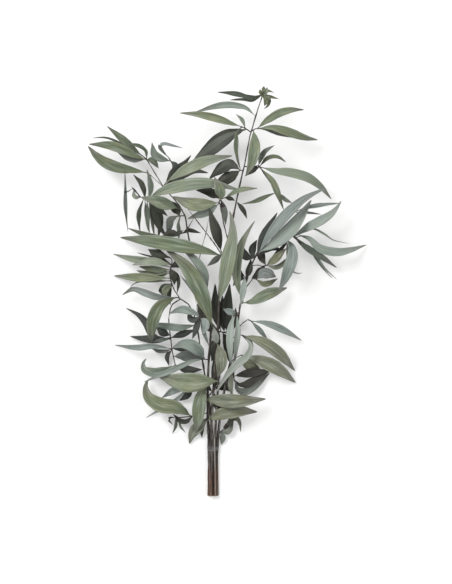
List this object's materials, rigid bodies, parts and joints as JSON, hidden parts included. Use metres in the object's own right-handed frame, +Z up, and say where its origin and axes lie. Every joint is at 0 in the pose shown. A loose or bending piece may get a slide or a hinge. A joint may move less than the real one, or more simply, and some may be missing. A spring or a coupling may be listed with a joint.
{
  "type": "eucalyptus branch bunch",
  "caption": "Lying bunch of cut willow-leaved eucalyptus stems, held by a clear band near the cut ends, with long narrow leaves in side shoots.",
  "frame": {"origin": "centre of the bounding box, on the surface that the bunch lies on", "axes": "+Y along the stems towards the growing tips, +Z up from the surface, +X to the right as seen from above"},
  "size_m": [0.423, 0.617, 0.0785],
  "materials": {
    "leaf_sage": "matte, powdery bloom, light sage green",
    "leaf_green": "matte, mid grey green",
    "leaf_blue": "matte, waxy blue-grey bloom",
    "leaf_olive": "matte, taupe olive",
    "bark": "dull bark, grey above and red-brown at the cut ends",
    "clear_band": "clear glossy film"
  },
  "bodies": {
    "root": {"bent_leaf_shoot": "leaf_green", "big_centre_leaf": "leaf_green", "big_left_leaf": "leaf_green", "bud_shoot": "leaf_green", "centre_dark_shoot": "leaf_green", "centre_left_shoot": "leaf_sage", "clear_band": "clear_band", "dark_heart_shoot": "leaf_green", "elbow_shoot": "leaf_sage", "far_left_leaf": "leaf_green", "foot_left_leaf": "leaf_olive", "foot_left_shoot": "leaf_sage", "foot_right_shoot": "leaf_olive", "hanging_twin_shoot": "leaf_blue", "inner_left_leaf": "leaf_green", "left_blue_shoot": "leaf_blue", "left_bow_shoot": "leaf_blue", "left_broad_leaf": "leaf_sage", "left_end_shoot": "leaf_sage", "left_hanging_leaf": "leaf_sage", "left_inner_leaf": "leaf_sage", "left_inner_shoot": "leaf_green", "left_short_shoot": "leaf_green", "left_stem": "bark", "left_top_shoot": "leaf_green", "long_light_shoot": "leaf_sage", "long_slate_leaf": "leaf_blue", "low_heart_shoot": "leaf_green", "low_left_shoot": "leaf_blue", "low_left_twiglet": "leaf_blue", "low_right_leaf": "leaf_olive", "low_right_shoot": "leaf_olive", "middle_end_shoot": "leaf_sage", "middle_right_leaf": "leaf_olive", "middle_stem": "bark", "middle_taupe_shoot": "leaf_olive", "right_arch_shoot": "leaf_sage", "right_big_shoot": "leaf_olive", "right_blue_shoot": "leaf_blue", "right_end_shoot": "leaf_blue", "right_foot_shoot": "leaf_olive", "right_fork_shoot": "leaf_blue", "right_green_shoot": "leaf_olive", "right_hanging_shoot": "leaf_blue", "right_olive_shoot": "leaf_olive", "right_stem": "bark", "right_thin_shoot": "leaf_blue", "right_tip_shoot": "leaf_blue", "short_end_shoot": "leaf_blue", "short_stem": "bark", "small_dark_leaf": "leaf_green", "tall_light_leaf": "leaf_sage", "thin_grey_leaf": "leaf_green", "top_blue_leaf": "leaf_blue", "top_stem": "bark", "upright_dark_shoot": "leaf_green", "upright_left_leaf": "leaf_blue", "whorl_left_shoot": "leaf_sage", "whorl_right_shoot": "leaf_sage"}
  },
  "joints": []
}
